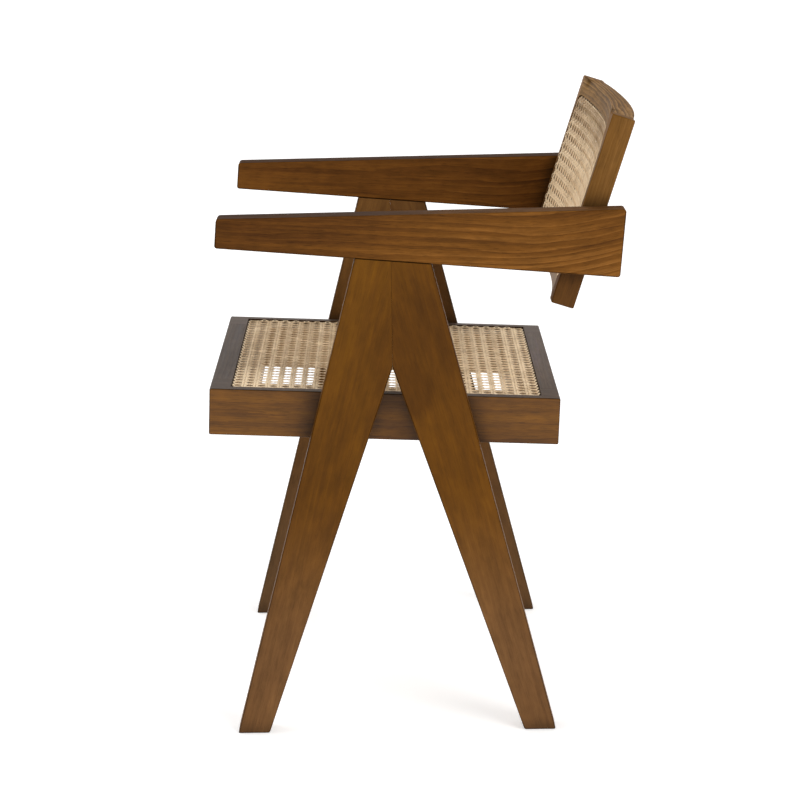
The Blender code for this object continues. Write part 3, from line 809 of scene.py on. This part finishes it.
def dress_frame(seat, back):
    """Gives each board its own figure, and the dowels and screws their materials."""
    edges = soft_edges()
    across = Matrix.Rotation(radians(-90), 3, "Y")
    seat_rebate, back_rebate = panel_rebates(seat, back)
    for side, along in SIDE_LOGS.items():
        for end, splay in {"front": LEG_SPLAY, "rear": -LEG_SPLAY}.items():
            leg = f"{side}_{end}"
            figure = Figure(LEG_TONES[end], **LEG_LOOK, fades=LEG_FADES[leg], spots=LEG_SPOTS[side])
            # Painted reflection of the floor towards the feet
            figure.foot_light_and_shade = (*LEG_FOOT_REFLECTION_SPAN, *LEG_FOOT_REFLECTION_SHARES[leg], LEG_FOOT_REFLECTION_TONES[side])
            pith = (LEG_PITH, LEG_PITH_TURN * splay, along + splay)
            dress_board(f"{leg}_leg", edges, about_x(splay), pith, figure)
        figure = Figure(ARM_TONES, **ARM_LOOK, top_light_tint=ARM_TOP_LIGHT_TINTS[side], fades=(ARM_FADES[side],))
        figure.sweep = (along + ARM_SWEEP_START, ARM_SWEEP)
        turn = about_x(radians(90) + ARM_FALL)
        dress_board(f"{side}_arm", edges, turn, pith_at(ARM_PITH, along), figure)
        figure = Figure(RAIL_TONES, **RAIL_LOOK, rebate=seat_rebate)
        turn = about_x(radians(90) + SEAT_TILT)
        dress_board(f"seat_{side}_rail", edges, turn, pith_at(SEAT_SIDE_PITH, along), figure)
        figure = Figure(STILE_TONES, **STILE_LOOK, rebate=back_rebate)
        turn = about_x(BACK_LEAN)
        dress_board(f"back_{side}_stile", edges, turn, pith_at(STILE_PITH, along), figure)
    for end, along in SEAT_END_LOGS.items():
        figure = Figure(RAIL_TONES, **RAIL_LOOK, rebate=seat_rebate)
        dress_board(f"seat_{end}_rail", edges, across, pith_at(SEAT_END_PITH, along), figure)
    for level, along in BACK_RAIL_LOGS.items():
        figure = Figure(BACK_TONES, **BACK_LOOK, sheen=BACK_SHEENS[level], rebate=back_rebate)
        figure.bow = back_rebate.curvature
        turn = across @ about_x(BACK_LEAN)
        dress_board(f"back_{level}_rail", edges, turn, pith_at(BACK_RAIL_PITH, along), figure)
    small_parts = {"dowel": beech("dowel_beech_grain"), "screw": zinc_steel("screw_zinc_steel")}
    for name in NODES:
        material = small_parts.get(name.rsplit("_", 1)[-1])
        if material:
            dress(name, material)


def tube_faces(first, rings, corners):
    """Faces of a closed tube through rings of corners, whose points run on from first."""
    faces = []
    for ring in range(rings - 1):
        low = first + ring * corners
        for i in range(corners):
            j = (i + 1) % corners
            faces.append((low + i, low + j, low + corners + j, low + corners + i))
    last = first + (rings - 1) * corners
    faces.append(tuple(range(first + corners - 1, first - 1, -1)))
    faces.append(tuple(range(last, last + corners)))
    return faces


class Weave:
    """A six-way cane weave over a panel with (u, v) places and round corners."""

    def __init__(self, name, place, half_width, v_low, v_high, corner, first, bulk, seed):
        self.name = name
        self.bulk = bulk
        self.place = place
        self.half_width = half_width
        self.v_low = v_low
        self.v_high = v_high
        self.corner = corner
        self.chance = random.Random(seed)
        self.points = []
        self.faces = []
        self.tones = []
        self.columns = self.lattice(-half_width, half_width, first[0])
        self.rows = self.lattice(v_low, v_high, first[1])

    @staticmethod
    def lattice(low, high, first):
        """Middles of the strand pairs, the first one a share of the pitch in from the edge."""
        count = round((high - low) / WEAVE_PITCH)
        pitch = (high - low) / count
        lines = [low + (i + first) * pitch for i in range(count)]
        return [line for line in lines if line < high - pitch * LAST_LINE_CLEAR]

    def inside(self, u, v):
        """Whether a place lies within the panel's outline."""
        middle = (self.v_low + self.v_high) / 2
        over_u = abs(u) - (self.half_width - self.corner)
        over_v = abs(v - middle) - ((self.v_high - self.v_low) / 2 - self.corner)
        if over_u > 0 and over_v > 0:
            return over_u ** 2 + over_v ** 2 <= self.corner ** 2
        return max(over_u, over_v) <= self.corner

    def reach(self, start, step, far):
        """How far from start, an inside point, the panel goes on along step."""
        low, high = 0.0, far
        for _ in range(REACH_HALVINGS):
            middle = (low + high) / 2
            if self.inside(start[0] + step[0] * middle, start[1] + step[1] * middle):
                low = middle
            else:
                high = middle
        return low

    def strand(self, start, step, crossings, width, thickness, gather=0.0):
        """One strand through start along the unit step; crossings are (distance, height) pairs.

        Its ends dip to the ledge, narrow, and move sideways by gather.
        """
        far = 2 * self.half_width + self.v_high - self.v_low
        end_low = -self.reach(start, (-step[0], -step[1]), far)
        end_high = self.reach(start, step, far)
        if end_high - end_low < SHORTEST_STRAND:
            return
        kept = [(t, h) for t, h in crossings if end_low + EDGE_TUCK < t < end_high - EDGE_TUCK]
        stations = [(end_low, -EDGE_DROP, EDGE_PINCH, gather), (end_low + EDGE_TUCK, 0.0, 1.0, 0.0)]
        stations += [(t, h, 1.0, 0.0) for t, h in kept]
        stations += [(end_high - EDGE_TUCK, 0.0, 1.0, 0.0), (end_high, -EDGE_DROP, EDGE_PINCH, gather)]
        side = (-step[1], step[0])
        drift = self.chance.uniform(-STRAND_WANDER, STRAND_WANDER)
        half = width / 2 * self.chance.uniform(*STRAND_WIDTHS)
        rings = []
        for t, height, spread, aside in stations:
            height *= self.bulk if height > -EDGE_DROP else 1.0
            u = start[0] + step[0] * t + side[0] * (drift + aside)
            v = start[1] + step[1] * t + side[1] * (drift + aside)
            rings.append((u, v, height, side, half * spread))
        self.ribbon(rings, thickness)

    def ribbon(self, rings, thickness, brighter=0.0):
        """A band of one tone through rings of (u, v, height, sideways, half width)."""
        tone = self.chance.uniform(*STRAND_TONES) + brighter
        first = len(self.points)
        for u, v, height, side, half in rings:
            for across, up in STRAND_SECTION:
                offset = across * half
                lift = height + up * thickness * self.bulk / 2
                self.points.append(self.place(u + side[0] * offset, v + side[1] * offset, lift))
                self.tones.append(tone)
        self.faces += tube_faces(first, len(rings), len(STRAND_SECTION))

    @staticmethod
    def crossings(lines, half, origin, order):
        """Places and heights where a strand passes over one of each pair and under the other."""
        stations = []
        for i, line in enumerate(lines):
            stations.append((line - half - origin, order * WEAVE_RISE))
            stations.append((line + half - origin, -order * WEAVE_RISE))
            if i + 1 < len(lines):
                stations.append(((line + lines[i + 1]) / 2 - origin, 0.0))
        return stations

    def weave(self):
        """All strands: the columns, the rows, the diagonals and the loops."""
        middle = (self.v_low + self.v_high) / 2
        for column in self.columns:
            for order in (1, -1):
                start = (column - order * COLUMN_HALF, middle)
                heights = self.crossings(self.rows, ROW_HALF, middle, order)
                gather = -order * COLUMN_HALF * EDGE_GATHER
                self.strand(start, (0, 1), heights, COLUMN_WIDTH, STRAND_THICKNESS, gather)
        for row in self.rows:
            for order in (1, -1):
                start = (0.0, row - order * ROW_HALF)
                heights = self.crossings(self.columns, COLUMN_HALF, 0.0, -order)
                gather = order * ROW_HALF * EDGE_GATHER
                self.strand(start, (1, 0), heights, ROW_WIDTH, STRAND_THICKNESS, gather)
        self.diagonals(1)
        self.diagonals(-1)
        self.loops(middle)

    def loops(self, middle):
        """Loops along the straight stretches of the four edges."""
        spans = ((0.0, self.half_width), (middle, (self.v_high - self.v_low) / 2))
        for lines, along, out in ((self.rows, 1, 0), (self.columns, 0, 1)):
            centre, half = spans[along]
            for low, high in zip(lines, lines[1:]):
                if max(abs(low - centre), abs(high - centre)) < half - self.corner:
                    self.loop(low, high, spans[out], 1, out)
                    self.loop(low, high, spans[out], -1, out)

    def loop(self, low, high, across, way, out):
        """A loop at an edge, from one strand pair round to the next one."""
        middle, half = across
        rings = []
        for i in range(LOOP_STEPS + 1):
            turn = pi * i / LOOP_STEPS
            along = (low + high) / 2 - (high - low) / 2 * LOOP_SPREAD * cos(turn)
            away = middle + way * (half - LOOP_INSET - LOOP_REACH * (1 - sin(turn)))
            side = (way * sin(turn), -cos(turn)) if out == 0 else (-cos(turn), way * sin(turn))
            point = (away, along) if out == 0 else (along, away)
            height = LOOP_RISE * (2 * sin(turn) - 1) * self.bulk
            rings.append((*point, height, side, LOOP_WIDTH / 2))
        self.ribbon(rings, DIAGONAL_THICKNESS, LOOP_TONE)

    def diagonals(self, slope):
        """Diagonals over the rows' spans and under the columns' spans, or the other way."""
        pitch_u = self.columns[1] - self.columns[0]
        pitch_v = self.rows[1] - self.rows[0]
        length = sqrt(pitch_u ** 2 + pitch_v ** 2)
        step = (pitch_u / length, slope * pitch_v / length)
        most = 2 * (len(self.columns) + len(self.rows))
        heights = [(k * length / 2, slope * DIAGONAL_RISE * (-1) ** k) for k in range(-most, most)]
        seen = set()
        for i, column in enumerate(self.columns):
            for j, row in enumerate(self.rows):
                line = j - slope * i
                start = (column + pitch_u / 2, row)
                if line in seen or not self.inside(*start):
                    continue
                seen.add(line)
                self.strand(start, step, heights, DIAGONAL_WIDTH, DIAGONAL_THICKNESS)

    def make(self, material, node_name):
        """The woven piece, which takes the place of a packed net."""
        self.weave()
        mesh = bpy.data.meshes.new(self.name)
        mesh.from_pydata(self.points, [], self.faces)
        mesh.attributes.new("tone", "FLOAT", "POINT").data.foreach_set("value", self.tones)
        mesh.shade_smooth()
        mesh.materials.append(material)
        piece = bpy.data.objects.new(self.name, mesh)
        bpy.context.scene.collection.objects.link(piece)
        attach(piece, "root")
        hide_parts(node_name)


def bow(u, depth):
    """Rearward place of a point of the back, depth behind its front face; the stiles are flat."""
    if abs(u) >= BOW_HALF:
        return depth
    return depth + BACK_SAGITTA - BOW_RADIUS + sqrt(BOW_RADIUS ** 2 - u ** 2)


def panel_frames():
    """Matrices of the seat, from its front edge, and of the back, from its foot."""
    seat = Matrix.Translation((0, LEG_AXIS - SEAT_FRONT_REACH, SEAT_FRONT_HEIGHT))
    back = Matrix.Translation((0, LEG_AXIS + BACK_FOOT_REACH, BACK_FOOT_HEIGHT))
    return seat @ Matrix.Rotation(-SEAT_TILT, 4, "X"), back @ Matrix.Rotation(-BACK_LEAN, 4, "X")


def weave_panels(seat, back):
    """The seat's cane, and the cane on both faces of the back."""

    def on_seat(u, v, height):
        return seat @ Vector((u, v, height - SEAT_SINK))

    def on_back_front(u, v, height):
        return back @ Vector((u, bow(u, BACK_SINK - height), v))

    def on_back_rear(u, v, height):
        return back @ Vector((u, bow(u, BACK_THICKNESS - BACK_SINK + height), v))

    half = SEAT_HALF - SIDE_RIM - PANEL_GAP
    front = FRONT_RIM + PANEL_GAP
    rear = SEAT_DEPTH - REAR_RIM - PANEL_GAP
    weave = Weave("seat_weave", on_seat, half, front, rear, PANEL_GAP, bulk=SEAT_BULK, **SEAT_WEAVE)
    weave.make(cane("seat"), "seat_cane")
    half = BACK_HALF - BACK_SIDE_RIM - PANEL_GAP
    low = BACK_RIM + PANEL_GAP
    high = BACK_HEIGHT - low
    for panel, place in {"back_front": on_back_front, "back_rear": on_back_rear}.items():
        corner = BACK_CORNER_RADIUS
        start = BACK_WEAVES[panel]
        weave = Weave(f"{panel}_weave", place, half, low, high, corner, bulk=BACK_BULK, **start)
        weave.make(cane(panel), f"{panel}_cane")


def add_glue():
    """A thin dark glue line in the seam of each pair of legs, along both faces."""
    material, tree, shader = new_material("seam_glue")
    grain = noise_node(tree, frame_place(tree), *GLUE_GRAIN)
    link(tree, ramp_node(tree, grain, GLUE_TONES), shader.inputs["Base Color"])
    shader.inputs["Roughness"].default_value = GLUE_ROUGHNESS
    for side, x_sign in {"left": 1, "right": -1}.items():
        low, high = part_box(f"{side}_front_leg")
        outer = max(abs(low.x), abs(high.x)) - GLUE_INSET
        inner = min(abs(low.x), abs(high.x)) + GLUE_INSET
        points = []
        faces = []
        for near, far in ((outer - GLUE_WIDTH, outer), (inner, inner + GLUE_WIDTH)):
            first = len(points)
            for z, half in GLUE_PROFILE:
                ring = [(near, -half), (far, -half), (far, half), (near, half)]
                points += [(x_sign * x, LEG_AXIS + y, z) for x, y in ring]
            faces += tube_faces(first, len(GLUE_PROFILE), len(ring))
        mesh = bpy.data.meshes.new(f"{side}_seam_glue")
        mesh.from_pydata(points, [], faces)
        mesh.materials.append(material)
        glue = bpy.data.objects.new(f"{side}_seam_glue", mesh)
        bpy.context.scene.collection.objects.link(glue)
        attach(glue, "root")


def add_floor():
    """A wide pale disc under the feet."""
    turns = [2 * pi * i / FLOOR_SIDES for i in range(FLOOR_SIDES)]
    ring = [(FLOOR_RADIUS * cos(turn), FLOOR_RADIUS * sin(turn), -FLOOR_DROP) for turn in turns]
    mesh = bpy.data.meshes.new("studio_floor")
    mesh.from_pydata(ring, [], [tuple(range(FLOOR_SIDES))])
    material, tree, shader = new_material("pale_floor")
    mottle = noise_node(tree, frame_place(tree), *FLOOR_MOTTLE)
    link(tree, ramp_node(tree, mottle, FLOOR_TONES), shader.inputs["Base Color"])
    shader.inputs["Roughness"].default_value = FLOOR_ROUGHNESS
    shader.inputs["Specular IOR Level"].default_value = FLOOR_SHEEN
    shader.inputs["Emission Color"].default_value = (1, 1, 1, 1)
    shader.inputs["Emission Strength"].default_value = FLOOR_GLOW
    mesh.materials.append(material)
    floor = bpy.data.objects.new("studio_floor", mesh)
    bpy.context.scene.collection.objects.link(floor)


def add_sun(name, toward, strength, angle):
    """A soft sun that shines from the direction toward."""
    lamp = bpy.data.lights.new(name, "SUN")
    lamp.energy = strength
    lamp.angle = angle
    sun = bpy.data.objects.new(name, lamp)
    sun.rotation_euler = Vector(toward).to_track_quat("Z", "Y").to_euler()
    bpy.context.scene.collection.objects.link(sun)


def light_studio():
    """White walls that dim towards the ceiling, and two soft suns. The backdrop shows white."""
    world = bpy.data.worlds.new("studio")
    bpy.context.scene.world = world
    world.use_nodes = True
    tree = world.node_tree
    tree.nodes.clear()
    direction = new_node(tree, "ShaderNodeTexCoord").outputs["Generated"]
    glow = ramp_node(tree, split_axes(tree, direction)["Z"], WALL_GLOW)
    path = new_node(tree, "ShaderNodeLightPath")
    walls = new_node(tree, "ShaderNodeBackground", (), {"Strength": 1.0})
    white = new_node(tree, "ShaderNodeBackground", (), {"Color": (1, 1, 1, 1), "Strength": 1.0})
    mix = new_node(tree, "ShaderNodeMixShader")
    out = new_node(tree, "ShaderNodeOutputWorld")
    link(tree, glow, walls.inputs["Color"])
    link(tree, path.outputs["Is Camera Ray"], mix.inputs["Fac"])
    link(tree, walls.outputs[0], mix.inputs[1])
    link(tree, white.outputs[0], mix.inputs[2])
    link(tree, mix.outputs[0], out.inputs["Surface"])
    for name, sun in SUNS.items():
        add_sun(name, *sun)


def add_camera():
    """The photograph's camera: yaw about Z, then pitch, then roll."""
    forward = Vector((-cos(CAMERA_YAW), sin(CAMERA_YAW), 0))
    right = Vector((sin(CAMERA_YAW), cos(CAMERA_YAW), 0))
    up = Vector((0, 0, 1))
    forward, up = (
        forward * cos(CAMERA_PITCH) + up * sin(CAMERA_PITCH),
        up * cos(CAMERA_PITCH) - forward * sin(CAMERA_PITCH),
    )
    right, up = (
        right * cos(CAMERA_ROLL) + up * sin(CAMERA_ROLL),
        up * cos(CAMERA_ROLL) - right * sin(CAMERA_ROLL),
    )
    lens = bpy.data.cameras.new("photo_camera")
    lens.sensor_width = SENSOR_WIDTH
    lens.lens = FOCAL_PIXELS * SENSOR_WIDTH / IMAGE_PIXELS
    camera = bpy.data.objects.new("photo_camera", lens)
    axes = Matrix((right, up, -forward)).transposed().to_4x4()
    camera.matrix_world = Matrix.Translation(CAMERA_PLACE) @ axes
    bpy.context.scene.collection.objects.link(camera)
    bpy.context.scene.camera = camera


SEAT_FRAME, BACK_FRAME = panel_frames()
dress_frame(SEAT_FRAME, BACK_FRAME)
weave_panels(SEAT_FRAME, BACK_FRAME)
add_glue()
add_floor()
light_studio()
add_camera()
bpy.context.scene.view_settings.view_transform = "Standard"
